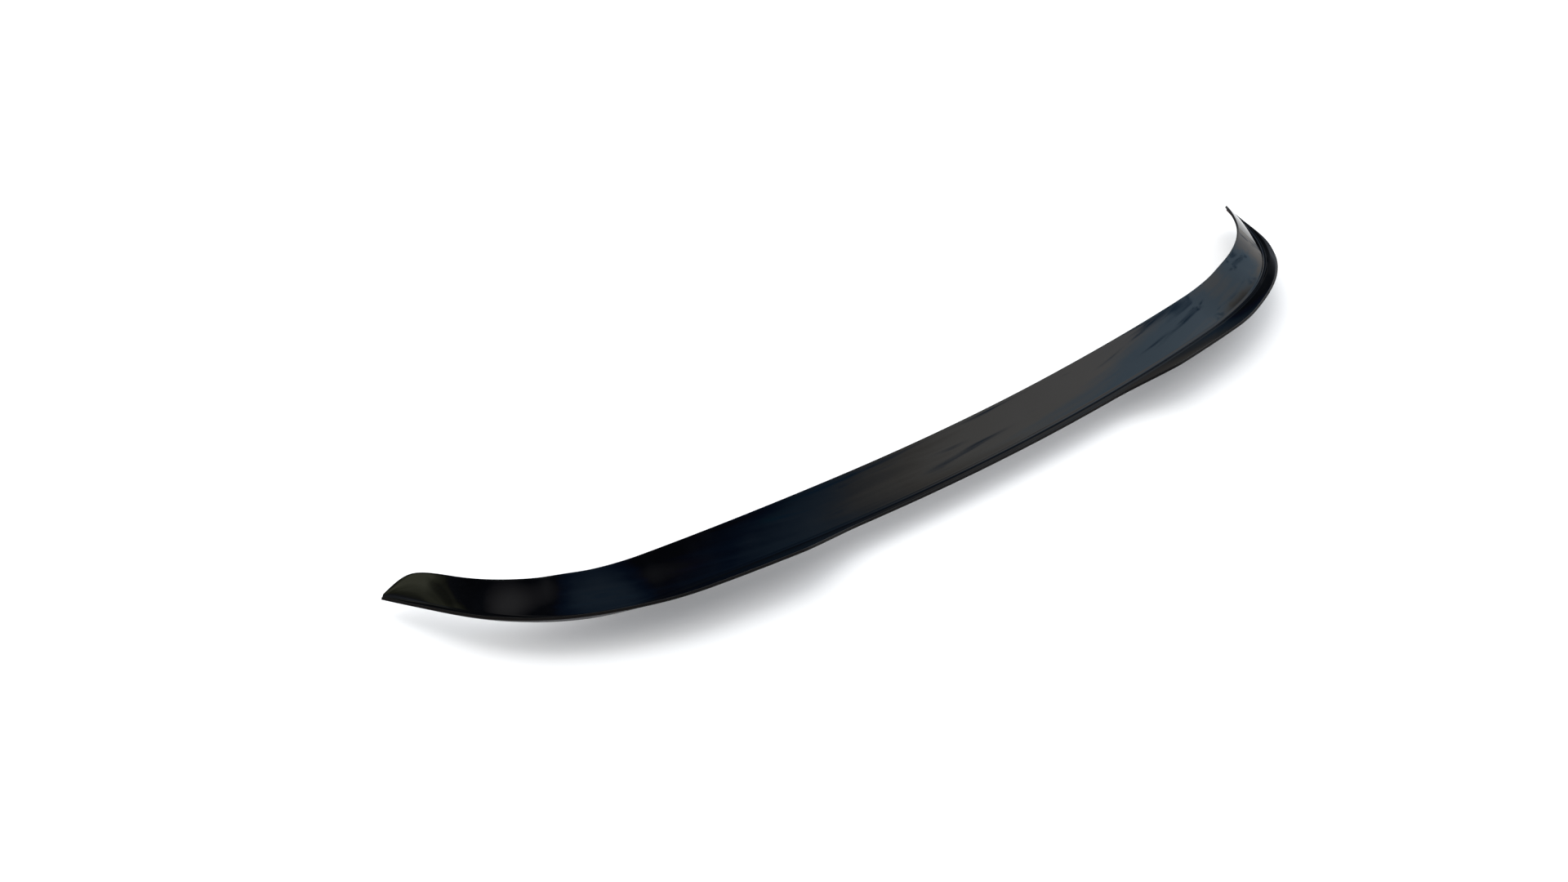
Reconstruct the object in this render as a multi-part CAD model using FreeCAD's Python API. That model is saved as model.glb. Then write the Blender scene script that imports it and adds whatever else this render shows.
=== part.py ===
"""Stick-on rear spoiler cap: a formed two-layer ABS sheet with foam mounting tape and its liners.

The cap is one sheet folded along a curved line. The band runs forward and up from the fold and is
taped down. The lip runs rearward and up from the fold, and its free edge has a shallow notch in the
middle between two deeper flaps. Both ends wrap forward round a corner and taper to a point.
+X is along the span, +Y forward and +Z up. The origin is the middle of the bonding face.
"""

import FreeCAD, Part
import math
import os

# Fold line, seen from above: distances along it from the middle of the span
half_length = 673.6        # from the middle to a tip
long_radius = 2560.0       # gentle bow of the whole span
corner_start = 423.0
corner_length = 195.0
corner_turn = 47.8         # degrees turned in the corner
corner_lift = 13.0         # the fold line rises into the corner
lift_start = 390.0
lift_end = 543.0
tip_drop = 9.9             # and falls again towards the tip
tip_drop_end = 738.0

# Band, from the fold forward and up
band_width = 50.0
band_end_width = 34.4
band_narrow_start = 463.0
band_narrow_end = 612.0
band_slope = 33.5          # degrees, chord of the band at mid-span
slope_ease = 12.4          # flatter towards the corner
slope_ease_start = 152.0
slope_ease_end = 520.0
slope_wrap = 27.0          # steeper round the corner
slope_wrap_start = 503.0
slope_wrap_end = 641.0
band_camber = 12.1         # half the turn of the band's hollow section
wrap_crown = 14.0          # round the corner the hollow turns into a slight crown
end_cut_slope = 1.77       # oblique end edge: width gained for each mm back from the tip
end_cut_past = 4.4         # how far past the tip that slant would meet the fold line
end_cut_round = 25.0

# Lip, from the fold rearward and up
lip_slope = 36.6
lip_corner_slope = 43.4
lip_slope_start = 361.0
lip_slope_end = 508.0
notch_depth = 25.2
notch_end = 190.3          # where the notch's slanted side starts
notch_round = 16.0
flap_start = 254.5         # where the flap reaches its full depth
flap_round = 5.0
flap_depth = 51.9
flap_taper_start = 358.0
flap_taper_end = 561.0
wrap_lip_depth = 12.7
wrap_lip_start = 513.0
wrap_lip_end = 698.0
tip_lip_depth = 0.8

# Sheet
sheet_thickness = 3.0
skin_thickness = 0.4       # the co-extruded gloss layer
fold_radius = 3.0          # on the gloss side
groove_depth = 0.8         # the gloss side dips along the fold
groove_lip_start = -7.0    # where the dip starts on the lip, measured from the fold
groove_lip_full = -1.0
shoulder_start = 1.9       # and where it rolls back up onto the band
shoulder_end = 3.7
full_groove_lip = 14.0     # lip depth from which the dip is at its full depth

# Mounting tape, under the band
tape_from_fold = 4.5
tape_width = 19.0
foam_thickness = 1.1
glue_line = 0.15           # adhesive film between sheet and foam
tape_inset = 4.0           # tape stops this far short of the oblique end edge
butt_gap = 0.6             # between one tape strip and the next
strip_joint = 452.0        # where the straight strip meets a corner strip
liner_clearance = 0.15
liner_thickness = 0.25

plain_step = 8.0           # spacing of the sections along the fold
fine_step = 3.0
lip_columns = 10           # spaces between points across the sheet
fold_columns = 6
band_columns = 18
tape_columns = 5           # spaces between points across the tape
corner_rows_count = 36     # spaces between points along a corner strip
path_step = 0.5            # spacing of the walk that finds the fold line

Vec = FreeCAD.Vector


def ease(value, start, end):
    """0 before start, 1 after end, with a smooth change between."""
    share = min(max((value - start) / (end - start), 0.0), 1.0)
    return share * share * (3.0 - 2.0 * share)


def soft_positive(value, rounding):
    """value where it is positive, 0 where it is negative, with a rounded corner."""
    return (value + math.hypot(value, rounding)) / 2.0


def soft_smaller(first, second, rounding):
    return (first + second - math.hypot(first - second, rounding)) / 2.0


def heading(along):
    """Direction of the fold line from +X, in radians."""
    turn = math.radians(corner_turn) * ease(along, corner_start, corner_start + corner_length)
    return along / long_radius + turn


def walk_fold_line():
    """Plan positions of the fold line at every path_step from the middle to a tip."""
    places = [(0.0, 0.0)]
    for index in range(int(half_length / path_step)):
        angle = heading((index + 0.5) * path_step)
        x, y = places[-1]
        places.append((x + path_step * math.cos(angle), y + path_step * math.sin(angle)))
    return places


fold_places = walk_fold_line()


def fold_height(along):
    lift = corner_lift * ease(along, lift_start, lift_end)
    return lift - tip_drop * ease(along, lift_end, tip_drop_end)


def fold_point(along):
    index = min(int(along / path_step), len(fold_places) - 2)
    share = along / path_step - index
    x0, y0 = fold_places[index]
    x1, y1 = fold_places[index + 1]
    return Vec(x0 + share * (x1 - x0), y0 + share * (y1 - y0), fold_height(along))


def band_size(along):
    """Width, chord slope and camber of the band, angles in radians."""
    full = band_width - (band_width - band_end_width) * ease(along, band_narrow_start, band_narrow_end)
    cut = (half_length + end_cut_past - along) * end_cut_slope
    width = soft_smaller(full, cut, end_cut_round)
    slope = band_slope - slope_ease * ease(along, slope_ease_start, slope_ease_end)
    slope += slope_wrap * ease(along, slope_wrap_start, slope_wrap_end)
    camber = band_camber * width / band_width
    camber -= wrap_crown * ease(along, slope_wrap_start, slope_wrap_end)
    return width, math.radians(slope), math.radians(camber)


def lip_size(along):
    """Depth of the lip from the fold to its free edge, and its slope in radians."""
    flap = (flap_depth - wrap_lip_depth) * (1.0 - ease(along, flap_taper_start, flap_taper_end))
    flap += wrap_lip_depth * (1.0 - ease(along, wrap_lip_start, wrap_lip_end))
    rise = soft_positive(along - notch_end, notch_round) - soft_positive(along - flap_start, flap_round)
    depth = notch_depth + (flap - notch_depth) * rise / (flap_start - notch_end)
    slope = lip_slope + (lip_corner_slope - lip_slope) * ease(along, lip_slope_start, lip_slope_end)
    return max(depth, tip_lip_depth), math.radians(slope)


class Section:
    """The upright cut through the sheet at one place along the fold.

    Points are (forward, up) from the fold's sharp corner on the gloss side.
    """

    def __init__(self, along):
        self.along = along
        self.width, self.slope, self.camber = band_size(along)
        self.depth, self.lip_slope = lip_size(along)
        self.start_slope = self.slope - self.camber
        turn = self.start_slope + self.lip_slope
        reach = 0.7 * min(self.depth, self.width)
        self.tangent = min(fold_radius * math.tan(turn / 2.0), reach)
        self.radius = self.tangent / math.tan(turn / 2.0)

    def point(self, across, offset):
        """across is the distance from the fold: positive on the band, negative on the lip."""
        if across >= self.tangent:
            return self.band_point(across, offset)
        if across <= -self.tangent:
            return self.lip_point(-across, offset)
        return self.fold_point(across, offset)

    def band_point(self, distance, offset):
        """distance along the band from the fold, offset below its gloss face."""
        share = distance / self.width
        chord = self.start_slope + self.camber * share
        here = self.start_slope + 2.0 * self.camber * share
        forward = distance * math.cos(chord) + offset * math.sin(here)
        up = distance * math.sin(chord) - offset * math.cos(here)
        return forward, up

    def lip_point(self, distance, offset):
        forward = -distance * math.cos(self.lip_slope) - offset * math.sin(self.lip_slope)
        up = distance * math.sin(self.lip_slope) - offset * math.cos(self.lip_slope)
        return forward, up

    def fold_point(self, across, offset):
        """A point on the arc between lip and band."""
        bisector = (self.start_slope - self.lip_slope) / 2.0
        half_turn = (self.start_slope + self.lip_slope) / 2.0
        reach = self.radius / math.cos(half_turn)
        angle = -self.lip_slope + half_turn * (across + self.tangent) / self.tangent
        forward = -reach * math.sin(bisector) + (self.radius + offset) * math.sin(angle)
        up = reach * math.cos(bisector) - (self.radius + offset) * math.cos(angle)
        return forward, up

    def groove(self, across):
        """Depth of the dip along the fold."""
        depth = groove_depth * min(1.0, self.depth / full_groove_lip)
        depth *= ease(across, groove_lip_start, groove_lip_full)
        return depth * (1.0 - ease(across, shoulder_start, shoulder_end))

    def places(self):
        """Distances from the fold at which the sheet is cut, closer together near the fold."""
        lip_reach = self.depth - self.tangent
        band_reach = self.width - self.tangent
        places = []
        for index in range(lip_columns, 0, -1):
            places.append(-self.tangent - lip_reach * (index / lip_columns) ** 2)
        for index in range(fold_columns + 1):
            places.append(self.tangent * (2.0 * index / fold_columns - 1.0))
        for index in range(1, band_columns + 1):
            places.append(self.tangent + band_reach * (index / band_columns) ** 2)
        return places

    def whole(self, offset):
        """Points from the lip's free edge round the fold to the band's front edge."""
        points = []
        for across in self.places():
            dip = self.groove(across) if offset <= skin_thickness else 0.0
            points.append(self.point(across, offset + dip))
        return points


def place(along, points):
    """Section points as places in the cap's own frame; along is negative on the left half."""
    side = -1.0 if along < 0 else 1.0
    fold = fold_point(abs(along))
    angle = heading(abs(along))
    placed = []
    for forward, up in points:
        x = fold.x - forward * math.sin(angle)
        y = fold.y + forward * math.cos(angle)
        placed.append(Vec(side * x, y, fold.z + up) - origin)
    return placed


def bond_centre():
    """Middle of the bonding face, measured from the fold at mid-span."""
    distance = tape_from_fold + tape_width / 2.0
    forward, up = Section(0.0).band_point(distance, sheet_thickness + glue_line + foam_thickness)
    return Vec(0.0, forward, up)


origin = bond_centre()


def stations(start, end):
    """Distances along the fold for the sections, closer where the outline turns."""
    places = [start]
    while places[-1] < end:
        here = abs(places[-1])
        near_notch = notch_end - 30.0 < here < flap_start + 20.0
        near_tip = here > half_length - 70.0
        step = fine_step if near_notch or near_tip else plain_step
        places.append(places[-1] + step)
    if end - places[-2] < fine_step * 0.6:
        places.pop()
    places[-1] = end
    return places


def half_and_half():
    """Sections over the whole span, the same on both sides of the middle."""
    right = stations(0.0, half_length)
    left = [-along for along in reversed(right[1:])]
    return left + right


def surface_through(rows):
    surface = Part.BSplineSurface()
    surface.interpolate(rows)
    return surface


def edge_along(surface, last):
    """The surface's own edge along its first or last column."""
    low_u, high_u, low_v, high_v = surface.bounds()
    curve = surface.vIso(high_v if last else low_v)
    return curve.toShape(low_u, high_u)


def edge_across(surface, last):
    low_u, high_u, low_v, high_v = surface.bounds()
    curve = surface.uIso(high_u if last else low_u)
    return curve.toShape(low_v, high_v)


def layer(rows_at, top_offset, bottom_offset):
    """A closed solid between two offsets of the sheet; rows_at(offset) gives a face's points."""
    top = surface_through(rows_at(top_offset))
    bottom = surface_through(rows_at(bottom_offset))
    faces = [top.toShape(), bottom.toShape()]
    for last in (False, True):
        faces.append(Part.makeRuledSurface(edge_along(top, last), edge_along(bottom, last)))
        faces.append(Part.makeRuledSurface(edge_across(top, last), edge_across(bottom, last)))
    shell = Part.makeShell(faces)
    shell.sewShape()
    solid = Part.makeSolid(shell)
    if solid.Volume < 0:
        solid.reverse()
    return solid


def sheet_rows(offset):
    return [place(along, Section(abs(along)).whole(offset)) for along in half_and_half()]


def gloss_skin():
    """Gloss cap layer over the whole upper face."""
    return layer(sheet_rows, 0.0, skin_thickness)


def shell_core():
    """Matte ABS sheet under the gloss layer."""
    return layer(sheet_rows, skin_thickness, sheet_thickness)


def tape_distances():
    """Distances from the fold at which points are taken across the tape."""
    return [tape_from_fold + tape_width * index / tape_columns for index in range(tape_columns + 1)]


def tape_point(along, distance, offset):
    return place(along, [Section(abs(along)).band_point(distance, offset)])[0]


def centre_rows(offset):
    """The straight strip, square at both ends."""
    end = strip_joint - butt_gap / 2.0
    rows = []
    for along in stations(-end, end):
        rows.append([tape_point(along, distance, offset) for distance in tape_distances()])
    return rows


def end_edge_at(distance):
    """How far along the fold the oblique end edge lies, at a distance from the fold."""
    along = half_length
    while band_size(along)[0] < distance + tape_inset:
        along -= 0.1
    return along


def corner_rows(offset):
    """The strip round the right corner, cut off by the oblique end edge."""
    start = strip_joint + butt_gap / 2.0
    ends = [end_edge_at(distance) for distance in tape_distances()]
    rows = []
    for index in range(corner_rows_count + 1):
        share = index / corner_rows_count
        row = []
        for distance, end in zip(tape_distances(), ends):
            row.append(tape_point(start + (end - start) * share, distance, offset))
        rows.append(row)
    return rows


def tape_strips(name, top, thickness):
    """Centre strip and a mirrored pair of corner strips of one layer of the tape."""
    right = layer(corner_rows, top, top + thickness)
    return {
        "centre_" + name: layer(centre_rows, top, top + thickness),
        "left_" + name: right.mirror(Vec(0, 0, 0), Vec(1, 0, 0)),
        "right_" + name: right,
    }


def build():
    foam_top = sheet_thickness + glue_line
    liner_top = foam_top + foam_thickness + liner_clearance
    nodes = {"gloss_skin": gloss_skin(), "shell_core": shell_core()}
    nodes.update(tape_strips("foam_tape", foam_top, foam_thickness))
    nodes.update(tape_strips("release_liner", liner_top, liner_thickness))
    return nodes


os.makedirs("parts", exist_ok=True)
for name, shape in build().items():
    box = shape.BoundBox
    shape.exportStep("parts/" + name + ".step")
    print(name, "valid", shape.isValid(), "volume", round(shape.Volume, 1),
          "x", round(box.XMin, 1), round(box.XMax, 1), "y", round(box.YMin, 1), round(box.YMax, 1),
          "z", round(box.ZMin, 1), round(box.ZMax, 1))
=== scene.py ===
# A stick-on rear spoiler cap: two-layer ABS sheet, foam mounting tape and its pink liner film.
# Lengths in the dictionaries are millimetres and angles are degrees. The scene itself is in metres.
import math

import bmesh
import bpy
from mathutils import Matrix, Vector


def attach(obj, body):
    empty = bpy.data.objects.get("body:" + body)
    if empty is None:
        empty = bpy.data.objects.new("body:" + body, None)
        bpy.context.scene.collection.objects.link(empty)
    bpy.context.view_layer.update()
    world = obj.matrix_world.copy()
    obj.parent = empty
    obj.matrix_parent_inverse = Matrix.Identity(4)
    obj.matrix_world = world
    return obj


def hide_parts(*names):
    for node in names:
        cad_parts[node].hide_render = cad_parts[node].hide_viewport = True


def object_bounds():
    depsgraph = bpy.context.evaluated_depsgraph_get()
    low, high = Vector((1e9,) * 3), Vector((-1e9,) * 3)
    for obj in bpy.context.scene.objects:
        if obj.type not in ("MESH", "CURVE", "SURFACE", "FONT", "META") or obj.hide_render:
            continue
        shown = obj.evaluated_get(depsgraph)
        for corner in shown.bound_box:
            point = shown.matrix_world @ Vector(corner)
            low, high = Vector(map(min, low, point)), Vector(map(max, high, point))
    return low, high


mm = 0.001
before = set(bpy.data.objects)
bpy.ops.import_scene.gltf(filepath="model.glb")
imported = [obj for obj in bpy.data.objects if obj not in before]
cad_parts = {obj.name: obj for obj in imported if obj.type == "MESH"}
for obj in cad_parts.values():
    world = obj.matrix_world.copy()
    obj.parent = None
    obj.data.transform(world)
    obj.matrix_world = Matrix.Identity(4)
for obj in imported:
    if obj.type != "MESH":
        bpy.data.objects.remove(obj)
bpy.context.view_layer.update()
print("frame loaded:", len(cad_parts), "CAD nodes")


def hexColor(code):
    # an sRGB hex value as linear red, green, blue and alpha
    channels = []
    for start in (1, 3, 5):
        value = int(code[start:start + 2], 16) / 255.0
        linear = value / 12.92 if value <= 0.04045 else ((value + 0.055) / 1.055) ** 2.4
        channels.append(linear)
    return (*channels, 1.0)


def addNode(tree, kind, settings=None, links=None):
    # settings are the node's own properties or its input values, links are sockets that feed its inputs
    node = tree.nodes.new(kind)
    for name, value in (settings or {}).items():
        if isinstance(name, str) and hasattr(node, name):
            setattr(node, name, value)
        else:
            node.inputs[name].default_value = value
    for name, socket in (links or {}).items():
        tree.links.new(socket, node.inputs[name])
    return node


def setStops(ramp, stops):
    # stops: (place, hex colour) from low to high
    band = ramp.color_ramp
    while len(band.elements) < len(stops):
        band.elements.new(0.5)
    for element, (place, code) in zip(band.elements, stops):
        element.position = place
        element.color = hexColor(code)


def easeBetween(value, start, end):
    share = min(max((value - start) / (end - start), 0.0), 1.0)
    return share * share * (3.0 - 2.0 * share)


def softPositive(value, rounding):
    return (value + math.hypot(value, rounding)) / 2.0


def softSmaller(first, second, rounding):
    return (first + second - math.hypot(first - second, rounding)) / 2.0


foldLine = {
    "halfLength": 673.6,
    "longRadius": 2560.0,     # gentle bow of the whole span
    "cornerStart": 423.0,
    "cornerLength": 195.0,
    "cornerTurn": 47.8,
    "lift": 13.0,             # rises into the corner, then falls to the tip
    "liftStart": 390.0,
    "liftEnd": 543.0,
    "tipDrop": 9.9,
    "tipDropEnd": 738.0,
    "step": 0.5,
}


def headingAt(along):
    turn = math.radians(foldLine["cornerTurn"])
    turn *= easeBetween(along, foldLine["cornerStart"],
                        foldLine["cornerStart"] + foldLine["cornerLength"])
    return along / foldLine["longRadius"] + turn


def walkFoldLine():
    places = [(0.0, 0.0)]
    step = foldLine["step"]
    for index in range(int(foldLine["halfLength"] / step)):
        angle = headingAt((index + 0.5) * step)
        x, y = places[-1]
        places.append((x + step * math.cos(angle), y + step * math.sin(angle)))
    return places


foldPlaces = walkFoldLine()


def foldPoint(along):
    index = min(int(along / foldLine["step"]), len(foldPlaces) - 2)
    share = along / foldLine["step"] - index
    x0, y0 = foldPlaces[index]
    x1, y1 = foldPlaces[index + 1]
    height = foldLine["lift"] * easeBetween(along, foldLine["liftStart"], foldLine["liftEnd"])
    height -= foldLine["tipDrop"] * easeBetween(along, foldLine["liftEnd"], foldLine["tipDropEnd"])
    return x0 + share * (x1 - x0), y0 + share * (y1 - y0), height


band = {
    "width": 50.0,
    "endWidth": 34.4,
    "narrowStart": 463.0,
    "narrowEnd": 612.0,
    "slope": 33.5,
    "slopeEase": 12.4,        # flatter towards the corner
    "easeStart": 152.0,
    "easeEnd": 520.0,
    "slopeWrap": 27.0,        # steeper round it
    "wrapStart": 503.0,
    "wrapEnd": 641.0,
    "camber": 12.1,
    "wrapCrown": 14.0,        # the hollow turns into a slight crown round the corner
    "endCutSlope": 1.77,
    "endCutPast": 4.4,        # how far past the tip that slant would meet the fold line
    "endCutRound": 25.0,
}


def bandWidth(along):
    narrowing = easeBetween(along, band["narrowStart"], band["narrowEnd"])
    full = band["width"] - (band["width"] - band["endWidth"]) * narrowing
    cut = (foldLine["halfLength"] + band["endCutPast"] - along) * band["endCutSlope"]
    return softSmaller(full, cut, band["endCutRound"])


lip = {
    "slope": 36.6,
    "cornerSlope": 43.4,
    "slopeStart": 361.0,
    "slopeEnd": 508.0,
    "notchDepth": 25.2,
    "notchEnd": 190.3,
    "notchRound": 16.0,
    "flapStart": 254.5,
    "flapRound": 5.0,
    "flapDepth": 51.9,
    "taperStart": 358.0,
    "taperEnd": 561.0,
    "wrapDepth": 12.7,
    "wrapStart": 513.0,
    "wrapEnd": 698.0,
    "tipDepth": 0.8,
}


def lipDepth(along):
    flap = lip["flapDepth"] - lip["wrapDepth"]
    flap *= 1.0 - easeBetween(along, lip["taperStart"], lip["taperEnd"])
    flap += lip["wrapDepth"] * (1.0 - easeBetween(along, lip["wrapStart"], lip["wrapEnd"]))
    rise = softPositive(along - lip["notchEnd"], lip["notchRound"])
    rise -= softPositive(along - lip["flapStart"], lip["flapRound"])
    depth = lip["notchDepth"] + (flap - lip["notchDepth"]) * rise / (lip["flapStart"] - lip["notchEnd"])
    return max(depth, lip["tipDepth"])


sheet = {
    "thickness": 3.0,
    "skin": 0.4,
    "foldRadius": 3.0,
    "foldShare": 0.7,         # near the tips the bend takes at most this share of the lip or band
    "topEdgeRound": 0.3,      # the cut edge is scraped on the gloss side
    "backEdgeRound": 0.6,
    "grooveDepth": 0.8,       # the gloss side dips at the fold, with a rounded shoulder on the band
    "shoulder": (1.9, 3.7),   # distances from the fold between which that shoulder rolls over
    "grooveFade": (-7.0, -1.0),
    "grooveFullLip": 14.0,    # lip depth from which the dip is at its full depth
    "stationStep": 3.0,       # distance between sections along the fold
    "lipCount": 18,
    "foldCount": 16,
    "bandCount": 34,
    "rimCount": 4,
    "crowding": 1.7,          # above 1, points across the sheet stand closer together near the fold
    "layerRound": 0.03,       # where the skin meets the core
    "sharpAngle": 50.0,
}


def sectionAt(along):
    # the upright cut through the sheet, at a distance along the fold from the middle
    width, depth = bandWidth(along), lipDepth(along)
    slope = band["slope"] - band["slopeEase"] * easeBetween(along, band["easeStart"], band["easeEnd"])
    slope += band["slopeWrap"] * easeBetween(along, band["wrapStart"], band["wrapEnd"])
    camber = band["camber"] * width / band["width"]
    camber -= band["wrapCrown"] * easeBetween(along, band["wrapStart"], band["wrapEnd"])
    camber = math.radians(camber)
    steepening = easeBetween(along, lip["slopeStart"], lip["slopeEnd"])
    lipSlope = math.radians(lip["slope"] + (lip["cornerSlope"] - lip["slope"]) * steepening)
    startSlope = math.radians(slope) - camber
    turn = startSlope + lipSlope
    tangent = min(sheet["foldRadius"] * math.tan(turn / 2.0), sheet["foldShare"] * min(depth, width))
    return {
        "width": width,
        "depth": depth,
        "camber": camber,
        "startSlope": startSlope,
        "lipSlope": lipSlope,
        "tangent": tangent,
        "radius": tangent / math.tan(turn / 2.0),
    }


def grooveAt(section, across):
    depth = sheet["grooveDepth"] * min(1.0, section["depth"] / sheet["grooveFullLip"])
    entry = easeBetween(across, *sheet["grooveFade"])
    return depth * entry * (1.0 - easeBetween(across, *sheet["shoulder"]))


def sheetPoint(section, across, offset):
    # across: distance from the fold, positive on the band and negative on the lip
    start, lipSlope, tangent = section["startSlope"], section["lipSlope"], section["tangent"]
    if across >= tangent:
        share = across / section["width"]
        chord = start + section["camber"] * share
        here = start + 2.0 * section["camber"] * share
        return (across * math.cos(chord) + offset * math.sin(here),
                across * math.sin(chord) - offset * math.cos(here))
    if across <= -tangent:
        return (across * math.cos(lipSlope) - offset * math.sin(lipSlope),
                -across * math.sin(lipSlope) - offset * math.cos(lipSlope))
    bisector, halfTurn = (start - lipSlope) / 2.0, (start + lipSlope) / 2.0
    reach = section["radius"] / math.cos(halfTurn)
    angle = -lipSlope + (start + lipSlope) * (across + tangent) / (2.0 * tangent)
    return (-reach * math.sin(bisector) + (section["radius"] + offset) * math.sin(angle),
            reach * math.cos(bisector) - (section["radius"] + offset) * math.cos(angle))


tape = {
    "fromFold": 4.5,
    "width": 19.0,
    "glueLine": 0.15,
    "foam": 1.1,
    "clearance": 0.15,
    "liner": 0.25,
    "inset": 4.0,
    "buttGap": 0.6,
    "stripJoint": 452.0,
    "acrossCount": 10,
    "endCount": 40,           # spaces between the points of the slanted end
    "endStep": 0.1,
    "foamEdgeRound": 0.25,
    "foamBulge": 0.12,        # the cut sides of the foam stand out a little at mid height
    "bulgeMargin": 0.01,      # and no longer do this far past the rounded corner
    "linerEdgeRound": 0.08,
    "ripple": 0.035,          # height of the film's faint waves
    "rippleLength": 23.0,
    "rippleSkew": 0.35,       # turns the waves a little across the strip
    "shortShare": 0.6,        # a second, shorter set of waves
    "shortLength": 0.37,
}


def bondCentre():
    distance = tape["fromFold"] + tape["width"] / 2.0
    return sheetPoint(sectionAt(0.0), distance, sheet["thickness"] + tape["glueLine"] + tape["foam"])


originForward, originUp = bondCentre()


def inFrame(along, forward, up):
    # a section's point in the part's own frame, in metres; along is negative on the left half
    side = -1.0 if along < 0 else 1.0
    x, y, z = foldPoint(abs(along))
    angle = headingAt(abs(along))
    x -= forward * math.sin(angle)
    y += forward * math.cos(angle)
    return (side * x * mm, (y - originForward) * mm, (z + up - originUp) * mm)


def cornerArc(acrossEdge, outward, offsetEdge, inward, radius, count):
    # points of a rounded corner in (across, offset), from the flat face to the side face
    centreAcross = acrossEdge - outward * radius
    centreOffset = offsetEdge + inward * radius
    points = []
    for index in range(count + 1):
        angle = math.pi / 2.0 * index / count
        points.append((centreAcross + outward * radius * math.sin(angle),
                       centreOffset - inward * radius * math.cos(angle)))
    return points


def halfLoop(low, high, face, inward, radius, inner):
    # one face of a strip with its two rounded corners, from the low edge to the high edge
    count = sheet["rimCount"]
    points = list(reversed(cornerArc(low, -1.0, face, inward, radius, count)))
    points += [(across, face) for across in inner]
    points += cornerArc(high, 1.0, face, inward, radius, count)
    return points


def innerPlaces(section, radius):
    # where the flat face gets points: closer together near the fold
    places = []
    lipReach = section["depth"] - radius - section["tangent"]
    bandReach = section["width"] - radius - section["tangent"]
    for index in range(sheet["lipCount"] - 1, 0, -1):
        places.append(-section["tangent"] - lipReach * (index / sheet["lipCount"]) ** sheet["crowding"])
    for index in range(sheet["foldCount"] + 1):
        places.append(section["tangent"] * (2.0 * index / sheet["foldCount"] - 1.0))
    for index in range(1, sheet["bandCount"]):
        places.append(section["tangent"] + bandReach * (index / sheet["bandCount"]) ** sheet["crowding"])
    return places


def meshFromLoops(name, loops, edgeNear):
    # closed skin over equal loops; each loop is its upper half forward and its lower half backward
    count = len(loops[0])
    points = [point for loop in loops for point in loop]
    faces = []
    for row in range(len(loops) - 1):
        for index in range(count):
            after = (index + 1) % count
            faces.append((row * count + index, row * count + after,
                          (row + 1) * count + after, (row + 1) * count + index))
    for row in (0, len(loops) - 1):
        for index in range(count // 2 - 1):
            partner = count - 1 - index
            faces.append((row * count + index, row * count + index + 1,
                          row * count + partner - 1, row * count + partner))
    mesh = bpy.data.meshes.new(name)
    mesh.from_pydata(points, [], faces)
    attribute = mesh.attributes.new("edgeNear", "FLOAT", "POINT")
    attribute.data.foreach_set("value", [near for row in edgeNear for near in row])
    work = bmesh.new()
    work.from_mesh(mesh)
    bmesh.ops.recalc_face_normals(work, faces=work.faces)
    work.to_mesh(mesh)
    work.free()
    mesh.shade_smooth()
    mesh.set_sharp_from_angle(angle=math.radians(sheet["sharpAngle"]))
    return mesh


def addPiece(name, mesh, material, body, node):
    piece = bpy.data.objects.new(name, mesh)
    bpy.context.scene.collection.objects.link(piece)
    mesh.materials.append(material)
    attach(piece, body)
    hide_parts(node)
    return piece


def sheetStations():
    # one list over the whole span, the same on both halves
    count = int(foldLine["halfLength"] / sheet["stationStep"])
    half = [foldLine["halfLength"] * index / count for index in range(count + 1)]
    return [-along for along in reversed(half[1:])] + half


def sheetLayer(name, top, bottom, topRound, bottomRound, bottomGroove):
    # the groove runs along the upper face of every layer, and along the lower face of the thin skin only
    loops, nears = [], []
    for along in sheetStations():
        section = sectionAt(abs(along))
        low, high = -section["depth"], section["width"]
        upper = halfLoop(low, high, top, 1.0, topRound, innerPlaces(section, topRound))
        lower = halfLoop(low, high, bottom, -1.0, bottomRound, innerPlaces(section, bottomRound))
        loop, near = [], []
        for across, offset in upper + list(reversed(lower)):
            dip = 1.0 + (bottomGroove - 1.0) * (offset - top) / (bottom - top)
            offset += grooveAt(section, across) * dip
            loop.append(inFrame(along, *sheetPoint(section, across, offset)))
            toTip = foldLine["halfLength"] - abs(along)
            near.append(min(across - low, high - across, toTip))
        loops.append(loop)
        nears.append(near)
    return meshFromLoops(name, loops, nears)


def endEdgeAt(distance):
    along = foldLine["halfLength"]
    while bandWidth(along) < distance + tape["inset"]:
        along -= tape["endStep"]
    return along


def tapePlaces(side):
    # how far along each strip runs, as a function of the share of its length and the distance from the fold
    joint, gap = tape["stripJoint"], tape["buttGap"] / 2.0
    if side == "centre":
        count = int(2.0 * (joint - gap) / sheet["stationStep"])
        return count, lambda share, distance: (2.0 * share - 1.0) * (joint - gap)
    sign = -1.0 if side == "left" else 1.0
    parts = tape["endCount"]
    ends = [endEdgeAt(tape["fromFold"] + tape["width"] * index / parts) for index in range(parts + 1)]

    def along(share, distance):
        place = (distance - tape["fromFold"]) / tape["width"] * parts
        index = min(max(int(place), 0), parts - 1)
        end = ends[index] + (ends[index + 1] - ends[index]) * (place - index)
        return sign * (joint + gap + (end - joint - gap) * share)
    return int((ends[0] - joint) / sheet["stationStep"]), along


def filmWave(along, across):
    # two sets of faint waves along the film, between -1 and 1
    turn = 2.0 * math.pi * along / tape["rippleLength"]
    wave = math.sin(turn + tape["rippleSkew"] * across)
    wave += tape["shortShare"] * math.sin(turn / tape["shortLength"] - tape["shortShare"] * across)
    return wave / (1.0 + tape["shortShare"])


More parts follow.
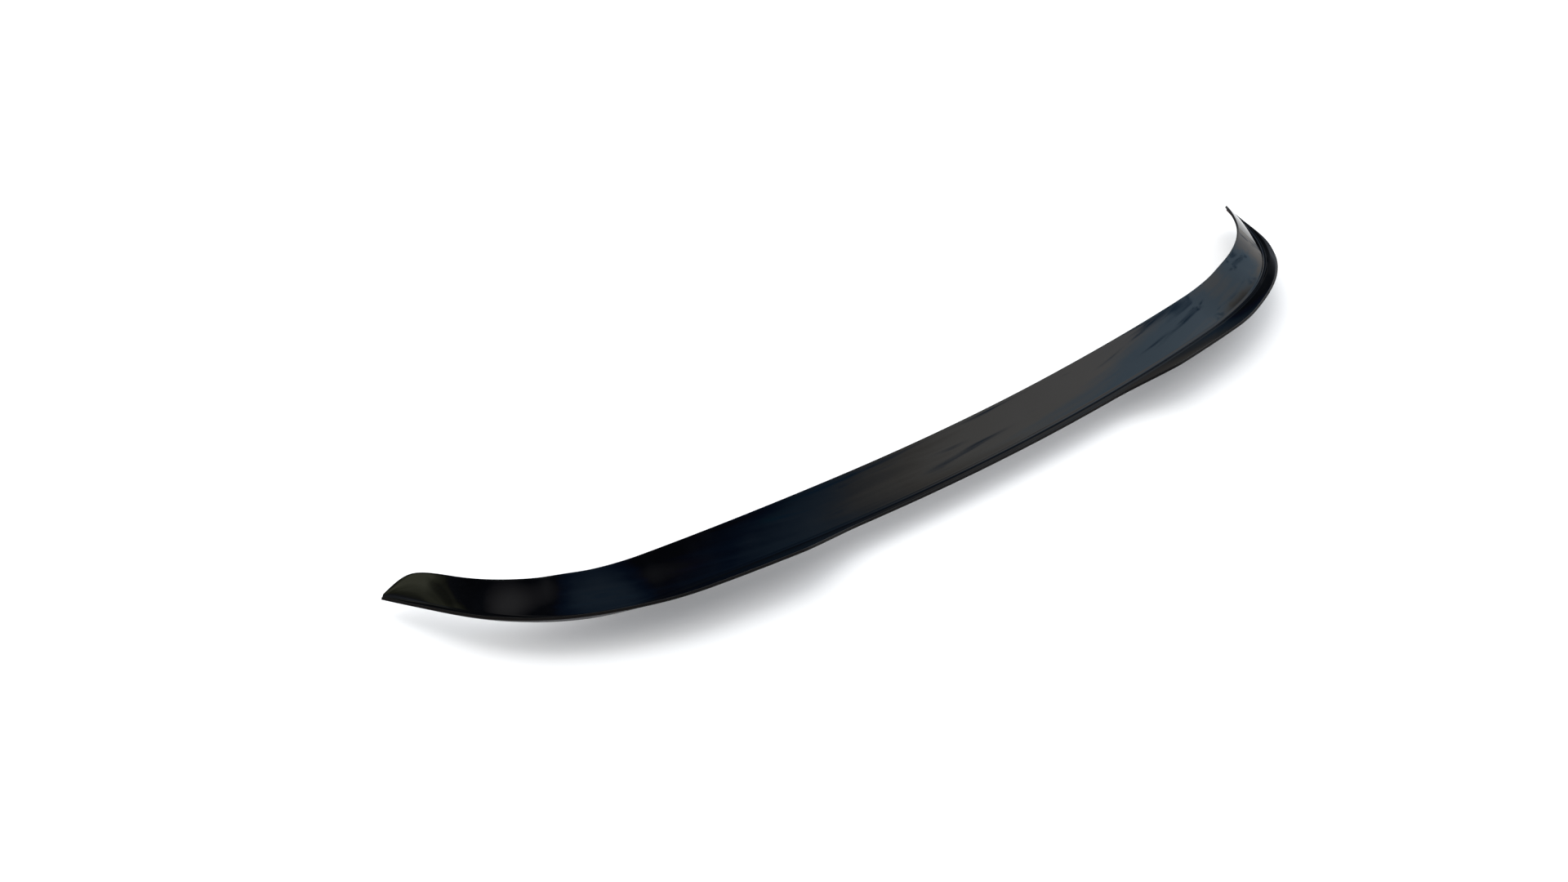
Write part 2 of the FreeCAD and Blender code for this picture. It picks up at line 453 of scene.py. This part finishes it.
def tapeStrip(name, side, top, thickness, edgeRound, bulge, ripple):
    count, alongAt = tapePlaces(side)
    low, high = tape["fromFold"], tape["fromFold"] + tape["width"]
    inner = [low + edgeRound + (high - low - 2.0 * edgeRound) * index / tape["acrossCount"]
             for index in range(1, tape["acrossCount"])]
    upper = halfLoop(low, high, top, 1.0, edgeRound, inner)
    lower = halfLoop(low, high, top + thickness, -1.0, edgeRound, inner)
    loops, nears = [], []
    for row in range(count + 1):
        share = row / count
        loop, near = [], []
        for across, offset in upper + list(reversed(lower)):
            along = alongAt(share, across)
            section = sectionAt(abs(along))
            height = (offset - top) / thickness
            outward = bulge * (1.0 - (2.0 * height - 1.0) ** 2)
            fromSide = min(across - low, high - across)
            atSide = max(0.0, 1.0 - fromSide / (edgeRound + tape["bulgeMargin"]))
            toward = 1.0 if across > (low + high) / 2.0 else -1.0
            moved = across + toward * outward * atSide
            lifted = offset + ripple * filmWave(along, across)
            loop.append(inFrame(along, *sheetPoint(section, moved, lifted)))
            near.append(fromSide)
        loops.append(loop)
        nears.append(near)
    return meshFromLoops(name, loops, nears)


glossAbs = {
    "color": "#030304",
    "dustColor": "#08090b",
    "edgeColor": "#151413",
    "edgeWidth": 0.3,
    "roughness": 0.045,
    "smudgeRoughness": 0.10,
    "ior": 1.49,
    "orangePeel": 2.6,        # size of the orange peel's cells
    "orangePeelHeight": 0.002,
    "formingWave": 70.0,      # slow waves left by drawing the hot sheet over the mould
    "formingWaveHeight": 0.05,
    "smudge": 45.0,
    "smudgeFrom": 0.45,
    "smudgeTo": 0.8,
    "edgeScale": 900.0,       # nicks of about a millimetre along the cut edge
    "edgeRoughness": 0.42,
}


def makeGlossAbs():
    # co-extruded PMMA over ABS, vacuum formed: deep black with mirror-like reflections that wave slightly
    s = glossAbs
    material = bpy.data.materials.new("glossBlackPmmaOverAbs")
    material.use_nodes = True
    tree = material.node_tree
    tree.nodes.clear()
    place = addNode(tree, "ShaderNodeTexCoord").outputs["Object"]
    peel = addNode(tree, "ShaderNodeTexNoise", {"Scale": 1000.0 / s["orangePeel"], "Detail": 2.0},
                   {"Vector": place})
    wave = addNode(tree, "ShaderNodeTexNoise", {"Scale": 1000.0 / s["formingWave"], "Detail": 1.0},
                   {"Vector": place})
    smudge = addNode(tree, "ShaderNodeTexNoise",
                     {"Scale": 1000.0 / s["smudge"], "Detail": 6.0, "Roughness": 0.6}, {"Vector": place})
    waveBump = addNode(tree, "ShaderNodeBump", {"Strength": 1.0, "Distance": s["formingWaveHeight"] * mm},
                       {"Height": wave.outputs["Fac"]})
    peelBump = addNode(tree, "ShaderNodeBump", {"Strength": 1.0, "Distance": s["orangePeelHeight"] * mm},
                       {"Height": peel.outputs["Fac"], "Normal": waveBump.outputs["Normal"]})
    smudgeShare = addNode(tree, "ShaderNodeMapRange",
                          {"From Min": s["smudgeFrom"], "From Max": s["smudgeTo"]},
                          {"Value": smudge.outputs["Fac"]})
    near = addNode(tree, "ShaderNodeAttribute", {"attribute_name": "edgeNear"})
    edgeNoise = addNode(tree, "ShaderNodeTexNoise", {"Scale": s["edgeScale"], "Detail": 3.0},
                        {"Vector": place})
    edgeReach = addNode(tree, "ShaderNodeMath", {"operation": "MULTIPLY", 1: s["edgeWidth"] * 2.0},
                        {0: edgeNoise.outputs["Fac"]})
    edgeShare = addNode(tree, "ShaderNodeMath", {"operation": "LESS_THAN"},
                        {0: near.outputs["Fac"], 1: edgeReach.outputs[0]})
    faceColor = addNode(tree, "ShaderNodeMix",
                        {"data_type": "RGBA", 6: hexColor(s["color"]), 7: hexColor(s["dustColor"])},
                        {0: smudgeShare.outputs[0]})
    color = addNode(tree, "ShaderNodeMix", {"data_type": "RGBA", 7: hexColor(s["edgeColor"])},
                    {0: edgeShare.outputs[0], 6: faceColor.outputs[2]})
    faceRough = addNode(tree, "ShaderNodeMapRange",
                        {"To Min": s["roughness"], "To Max": s["smudgeRoughness"]},
                        {"Value": smudgeShare.outputs[0]})
    rough = addNode(tree, "ShaderNodeMapRange", {"To Max": s["edgeRoughness"]},
                    {"Value": edgeShare.outputs[0], "To Min": faceRough.outputs[0]})
    shader = addNode(tree, "ShaderNodeBsdfPrincipled", {"IOR": s["ior"]},
                     {"Base Color": color.outputs[2], "Roughness": rough.outputs[0],
                      "Normal": peelBump.outputs["Normal"]})
    addNode(tree, "ShaderNodeOutputMaterial", {}, {"Surface": shader.outputs[0]})
    return material


matteAbs = {
    "color": "#141416",
    "paleColor": "#1d1e21",
    "edgeColor": "#0f0d0c",
    "shine": 0.5,
    "edgeShine": 0.12,        # the milled edge is torn and dull, and mirrors far less than the pressed face
    "edgeWidth": 1.1,
    "roughness": (0.45, 0.58),
    "ior": 1.53,
    "grain": 0.9,             # the pressed grain is about 0.3 mm, drawn three times coarser so that it shows
    "grainHeight": 0.03,
    "fineScale": 2200.0,      # the finest texture, under half a millimetre
    "cloud": 38.0,
}


def makeMatteAbs():
    # ABS with a pressed fine grain: soft dark grey with a broad sheen at low angles
    s = matteAbs
    material = bpy.data.materials.new("matteGrainedAbs")
    material.use_nodes = True
    tree = material.node_tree
    tree.nodes.clear()
    place = addNode(tree, "ShaderNodeTexCoord").outputs["Object"]
    grain = addNode(tree, "ShaderNodeTexVoronoi",
                    {"Scale": 1000.0 / s["grain"], "feature": "SMOOTH_F1", "Smoothness": 0.6},
                    {"Vector": place})
    fine = addNode(tree, "ShaderNodeTexNoise", {"Scale": s["fineScale"], "Detail": 3.0},
                   {"Vector": place})
    cloud = addNode(tree, "ShaderNodeTexNoise", {"Scale": 1000.0 / s["cloud"], "Detail": 4.0},
                    {"Vector": place})
    height = addNode(tree, "ShaderNodeMath", {"operation": "ADD"},
                     {0: grain.outputs["Distance"], 1: fine.outputs["Fac"]})
    bump = addNode(tree, "ShaderNodeBump", {"Strength": 0.6, "Distance": s["grainHeight"] * mm},
                   {"Height": height.outputs[0]})
    near = addNode(tree, "ShaderNodeAttribute", {"attribute_name": "edgeNear"})
    edgeReach = addNode(tree, "ShaderNodeMath", {"operation": "MULTIPLY", 1: s["edgeWidth"]},
                        {0: fine.outputs["Fac"]})
    edgeShare = addNode(tree, "ShaderNodeMath", {"operation": "LESS_THAN"},
                        {0: near.outputs["Fac"], 1: edgeReach.outputs[0]})
    face = addNode(tree, "ShaderNodeMix",
                   {"data_type": "RGBA", 6: hexColor(s["color"]), 7: hexColor(s["paleColor"])},
                   {0: cloud.outputs["Fac"]})
    color = addNode(tree, "ShaderNodeMix", {"data_type": "RGBA", 7: hexColor(s["edgeColor"])},
                    {0: edgeShare.outputs[0], 6: face.outputs[2]})
    rough = addNode(tree, "ShaderNodeMapRange",
                    {"To Min": s["roughness"][0], "To Max": s["roughness"][1]},
                    {"Value": grain.outputs["Distance"]})
    sheen = addNode(tree, "ShaderNodeMapRange", {"To Min": s["shine"], "To Max": s["edgeShine"]},
                    {"Value": edgeShare.outputs[0]})
    shader = addNode(tree, "ShaderNodeBsdfPrincipled", {"IOR": s["ior"]},
                     {"Base Color": color.outputs[2], "Roughness": rough.outputs[0],
                      "Normal": bump.outputs["Normal"], "Specular IOR Level": sheen.outputs[0]})
    addNode(tree, "ShaderNodeOutputMaterial", {}, {"Surface": shader.outputs[0]})
    return material


acrylicFoam = {
    "color": "#2c2425",
    "cellColor": "#120e0f",
    "roughness": 0.85,
    "ior": 1.48,
    "cell": 0.5,              # closed cells of about 0.1 to 0.2 mm, drawn coarser so that they show
    "cellHeight": 0.12,
    "cellEdge": 0.6,
}


def makeAcrylicFoam():
    # closed-cell acrylic foam tape, slit to width: dull, dark, with open cells on its cut sides
    s = acrylicFoam
    material = bpy.data.materials.new("darkAcrylicFoam")
    material.use_nodes = True
    tree = material.node_tree
    tree.nodes.clear()
    place = addNode(tree, "ShaderNodeTexCoord").outputs["Object"]
    cell = addNode(tree, "ShaderNodeTexVoronoi", {"Scale": 1000.0 / s["cell"]}, {"Vector": place})
    bump = addNode(tree, "ShaderNodeBump", {"Strength": 0.8, "Distance": s["cellHeight"] * mm},
                   {"Height": cell.outputs["Distance"]})
    share = addNode(tree, "ShaderNodeMapRange", {"From Max": s["cellEdge"]},
                    {"Value": cell.outputs["Distance"]})
    color = addNode(tree, "ShaderNodeMix",
                    {"data_type": "RGBA", 6: hexColor(s["cellColor"]), 7: hexColor(s["color"])},
                    {0: share.outputs[0]})
    shader = addNode(tree, "ShaderNodeBsdfPrincipled", {"IOR": s["ior"], "Roughness": s["roughness"]},
                     {"Base Color": color.outputs[2], "Normal": bump.outputs["Normal"]})
    addNode(tree, "ShaderNodeOutputMaterial", {}, {"Surface": shader.outputs[0]})
    return material


linerFilm = {
    "color": "#f29aa4",
    "paleColor": "#f8b0b8",
    # painted shade: the film's cut sides are coloured a darker red in place of the shade that falls on them
    "edgeColor": "#8e3c44",
    "shadedEdgeBand": (0.05, 0.22),
    "roughness": (0.32, 0.48),
    "ior": 1.51,
    "cloud": 26.0,
    "calender": 1.4,          # fine crosswise texture of the blown film
    "calenderHeight": 0.006,
}


def makeLinerFilm():
    # tinted polyethylene release film: salmon pink, satin, a little see-through, faintly uneven, with
    # painted shade in darker red along its cut sides
    s = linerFilm
    material = bpy.data.materials.new("pinkPolyethyleneFilm")
    material.use_nodes = True
    tree = material.node_tree
    tree.nodes.clear()
    place = addNode(tree, "ShaderNodeTexCoord").outputs["Object"]
    cloud = addNode(tree, "ShaderNodeTexNoise", {"Scale": 1000.0 / s["cloud"], "Detail": 5.0},
                    {"Vector": place})
    calender = addNode(tree, "ShaderNodeTexNoise", {"Scale": 1000.0 / s["calender"], "Detail": 2.0},
                       {"Vector": place})
    bump = addNode(tree, "ShaderNodeBump", {"Strength": 0.7, "Distance": s["calenderHeight"] * mm},
                   {"Height": calender.outputs["Fac"]})
    near = addNode(tree, "ShaderNodeAttribute", {"attribute_name": "edgeNear"})
    # painted shade: the colour turns darker red close to the film's cut sides
    edgeShare = addNode(tree, "ShaderNodeMapRange",
                        {"From Min": s["shadedEdgeBand"][0], "From Max": s["shadedEdgeBand"][1],
                         "To Min": 1.0, "To Max": 0.0},
                        {"Value": near.outputs["Fac"]})
    face = addNode(tree, "ShaderNodeMix",
                   {"data_type": "RGBA", 6: hexColor(s["color"]), 7: hexColor(s["paleColor"])},
                   {0: cloud.outputs["Fac"]})
    color = addNode(tree, "ShaderNodeMix", {"data_type": "RGBA", 7: hexColor(s["edgeColor"])},
                    {0: edgeShare.outputs[0], 6: face.outputs[2]})
    rough = addNode(tree, "ShaderNodeMapRange",
                    {"To Min": s["roughness"][0], "To Max": s["roughness"][1]},
                    {"Value": cloud.outputs["Fac"]})
    shader = addNode(tree, "ShaderNodeBsdfPrincipled", {"IOR": s["ior"]},
                     {"Base Color": color.outputs[2], "Roughness": rough.outputs[0],
                      "Normal": bump.outputs["Normal"]})
    addNode(tree, "ShaderNodeOutputMaterial", {}, {"Surface": shader.outputs[0]})
    return material


gloss = makeGlossAbs()
matte = makeMatteAbs()
foam = makeAcrylicFoam()
film = makeLinerFilm()
print("materials made")

skinMesh = sheetLayer("glossSkin", 0.0, sheet["skin"], sheet["topEdgeRound"], sheet["layerRound"], 1.0)
addPiece("glossSkin", skinMesh, gloss, "cap", "gloss_skin")
coreMesh = sheetLayer("shellCore", sheet["skin"], sheet["thickness"], sheet["layerRound"],
                      sheet["backEdgeRound"], 0.0)
addPiece("shellCore", coreMesh, matte, "cap", "shell_core")
print("sheet built:", len(skinMesh.polygons) + len(coreMesh.polygons), "faces")

foamTop = sheet["thickness"] + tape["glueLine"]
linerTop = foamTop + tape["foam"] + tape["clearance"]
for side in ("centre", "left", "right"):
    foamMesh = tapeStrip(side + "FoamTape", side, foamTop, tape["foam"],
                         tape["foamEdgeRound"], tape["foamBulge"], 0.0)
    addPiece(side + "FoamTape", foamMesh, foam, "cap", side + "_foam_tape")
    linerMesh = tapeStrip(side + "ReleaseLiner", side, linerTop, tape["liner"],
                          tape["linerEdgeRound"], 0.0, tape["ripple"])
    liner = addPiece(side + "ReleaseLiner", linerMesh, film, side + "_liner",
                     side + "_release_liner")
    liner.visible_diffuse = False    # its pink doesn't tint the floor
print("tape and liners built")


studio = {
    "floorColor": "#f4f4f4",
    "floorSize": 40.0,        # metres
    "fibreScale": 900.0,
    "fibreStrength": 0.1,
    "fibreHeight": 0.1,
    "gap": 11.0,              # the cap hangs this far clear of the floor, so that its shadow is soft
    "keyStrength": 1.1,
    "keyAngle": 60.0,         # a large soft light
    "keyAzimuth": 12.0,       # from +Y towards +X
    "keyElevation": 60.0,
    "fillStrength": 2.9,
    "fillAngle": 170.0,       # a tent of light over everything
}


def makeFloor():
    # pale seamless paper, perfectly dull
    material = bpy.data.materials.new("paleStudioPaper")
    material.use_nodes = True
    tree = material.node_tree
    tree.nodes.clear()
    place = addNode(tree, "ShaderNodeTexCoord").outputs["Object"]
    fibre = addNode(tree, "ShaderNodeTexNoise", {"Scale": studio["fibreScale"], "Detail": 3.0},
                    {"Vector": place})
    bump = addNode(tree, "ShaderNodeBump",
                   {"Strength": studio["fibreStrength"], "Distance": studio["fibreHeight"] * mm},
                   {"Height": fibre.outputs["Fac"]})
    shader = addNode(tree, "ShaderNodeBsdfDiffuse", {"Color": hexColor(studio["floorColor"])},
                     {"Normal": bump.outputs["Normal"]})
    addNode(tree, "ShaderNodeOutputMaterial", {}, {"Surface": shader.outputs[0]})
    half = studio["floorSize"] / 2.0
    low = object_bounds()[0].z - studio["gap"] * mm
    mesh = bpy.data.meshes.new("floor")
    corners = [(-half, -half, low), (half, -half, low), (half, half, low), (-half, half, low)]
    mesh.from_pydata(corners, [], [(0, 1, 2, 3)])
    mesh.materials.append(material)
    floor = bpy.data.objects.new("floor", mesh)
    bpy.context.scene.collection.objects.link(floor)


def directionOf(azimuth, elevation):
    azimuth, elevation = math.radians(azimuth), math.radians(elevation)
    level = math.cos(elevation)
    return Vector((math.sin(azimuth) * level, math.cos(azimuth) * level, math.sin(elevation)))


def makeLights():
    # they light the floor and the dull pieces, and gloss mirrors the studio's walls alone
    s = studio
    for name, strength, angle, azimuth, elevation in (
            ("softKey", s["keyStrength"], s["keyAngle"], s["keyAzimuth"], s["keyElevation"]),
            ("tentFill", s["fillStrength"], s["fillAngle"], 0.0, 90.0)):
        light = bpy.data.lights.new(name, "SUN")
        light.energy = strength
        light.angle = math.radians(angle)
        lamp = bpy.data.objects.new(name, light)
        bpy.context.scene.collection.objects.link(lamp)
        lamp.rotation_euler = directionOf(azimuth, elevation).to_track_quat("Z", "Y").to_euler()
        lamp.visible_glossy = False


sky = {
    "strength": 1.35,
    "rightWall": (100.0, 20.0),      # azimuth from +Y towards +X, and elevation, of the brightest wall
    "rightStops": ((0.52, "#000000"), (0.62, "#001428"), (0.67, "#14385e"), (0.71, "#4c6884"),
                   (0.74, "#607890"), (0.77, "#84898f"), (0.80, "#b6b2ac"), (0.84, "#e4e2de"),
                   (0.92, "#eceae8"), (1.0, "#d2d8e0")),
    "bluePatch": (89.0, 40.0),
    "blueStops": ((0.962, "#000000"), (0.988, "#e4e4e4")),
    "blueColor": "#a8d0f0",
    "leftWall": (-70.0, 37.0),
    "leftStops": ((0.925, "#000000"), (0.95, "#24251a"), (0.966, "#50523e"),
                  (0.98, "#74765e"), (0.99, "#9a9d82"), (1.0, "#b8ba9e")),
    "heightStops": ((0.0, "#9aa0aa"), (0.20, "#8e949e"), (0.45, "#343c46"), (0.85, "#0c141c"),
                    (0.93, "#141c26"), (0.965, "#5c5c60"), (1.0, "#8a8a8c")),
    "cloudColor": "#2c6088",
    "cloudSize": 6.2,                # patches per unit of direction
    "cloudFrom": 0.55,
    "cloudTo": 0.66,
    "waver": 0.05,
    "backdropColor": "#fdfdfd",      # what is seen past the floor, while gloss mirrors the walls
}


def makeSky():
    # a dim studio with one broad bright wall at the right and a small warm one at the left
    s = sky
    world = bpy.data.worlds.new("studio")
    bpy.context.scene.world = world
    world.use_nodes = True
    tree = world.node_tree
    tree.nodes.clear()
    place = addNode(tree, "ShaderNodeTexCoord").outputs["Generated"]
    cloud = addNode(tree, "ShaderNodeTexNoise",
                    {"Scale": s["cloudSize"], "Detail": 4.0, "Roughness": 0.62, "Distortion": 0.6},
                    {"Vector": place})
    waver = addNode(tree, "ShaderNodeMapRange", {"To Min": -s["waver"], "To Max": s["waver"]},
                    {"Value": cloud.outputs["Fac"]})

    def wall(axis, stops):
        toward = addNode(tree, "ShaderNodeVectorMath",
                         {"operation": "DOT_PRODUCT", 1: directionOf(*axis)}, {0: place})
        moved = addNode(tree, "ShaderNodeMath", {"operation": "ADD"},
                        {0: toward.outputs["Value"], 1: waver.outputs[0]})
        ramp = addNode(tree, "ShaderNodeValToRGB", {}, {0: moved.outputs[0]})
        setStops(ramp, stops)
        return ramp.outputs[0]

    right = wall(s["rightWall"], s["rightStops"])
    left = wall(s["leftWall"], s["leftStops"])
    parts = addNode(tree, "ShaderNodeSeparateXYZ", {}, {0: place})
    height = addNode(tree, "ShaderNodeValToRGB", {}, {0: parts.outputs["Z"]})
    setStops(height, s["heightStops"])
    cloudShare = addNode(tree, "ShaderNodeMapRange",
                         {"From Min": s["cloudFrom"], "From Max": s["cloudTo"]},
                         {"Value": cloud.outputs["Fac"]})
    blued = addNode(tree, "ShaderNodeMix", {"data_type": "RGBA", 7: hexColor(s["blueColor"])},
                    {0: wall(s["bluePatch"], s["blueStops"]), 6: right})
    clouded = addNode(tree, "ShaderNodeMix",
                      {"data_type": "RGBA", "blend_type": "DARKEN", 7: hexColor(s["cloudColor"])},
                      {0: cloudShare.outputs[0], 6: blued.outputs[2]})
    sides = addNode(tree, "ShaderNodeMix", {"data_type": "RGBA", "blend_type": "LIGHTEN", 0: 1.0},
                    {6: clouded.outputs[2], 7: left})
    color = addNode(tree, "ShaderNodeMix", {"data_type": "RGBA", "blend_type": "LIGHTEN", 0: 1.0},
                    {6: sides.outputs[2], 7: height.outputs[0]})
    walls = addNode(tree, "ShaderNodeBackground", {"Strength": s["strength"]},
                    {"Color": color.outputs[2]})
    backdrop = addNode(tree, "ShaderNodeBackground", {"Color": hexColor(s["backdropColor"])})
    seen = addNode(tree, "ShaderNodeLightPath").outputs["Is Camera Ray"]
    shader = addNode(tree, "ShaderNodeMixShader", {},
                     {0: seen, 1: walls.outputs[0], 2: backdrop.outputs[0]})
    addNode(tree, "ShaderNodeOutputWorld", {}, {"Surface": shader.outputs[0]})


view = {
    "azimuth": -39.341,
    "elevation": 34.267,
    "target": (-135.9, 142.8, 0.0),
    "distance": 2380.1,
    "lens": 52.478,
    "sensor": 36.0,
    "clip": (0.05, 50.0),     # metres
}


def makeCamera():
    data = bpy.data.cameras.new("camera")
    data.lens = view["lens"]
    data.sensor_width = view["sensor"]
    data.clip_start, data.clip_end = view["clip"]
    camera = bpy.data.objects.new("camera", data)
    bpy.context.scene.collection.objects.link(camera)
    azimuth, elevation = math.radians(view["azimuth"]), math.radians(view["elevation"])
    level = math.cos(elevation)
    back = Vector((math.sin(azimuth) * level, -math.cos(azimuth) * level, math.sin(elevation)))
    camera.location = (Vector(view["target"]) + back * view["distance"]) * mm
    camera.rotation_euler = (math.pi / 2.0 - elevation, 0.0, azimuth)
    bpy.context.scene.camera = camera


makeFloor()
makeLights()
makeSky()
makeCamera()
bpy.context.scene.view_settings.view_transform = "Standard"
print("floor, lights and camera placed")
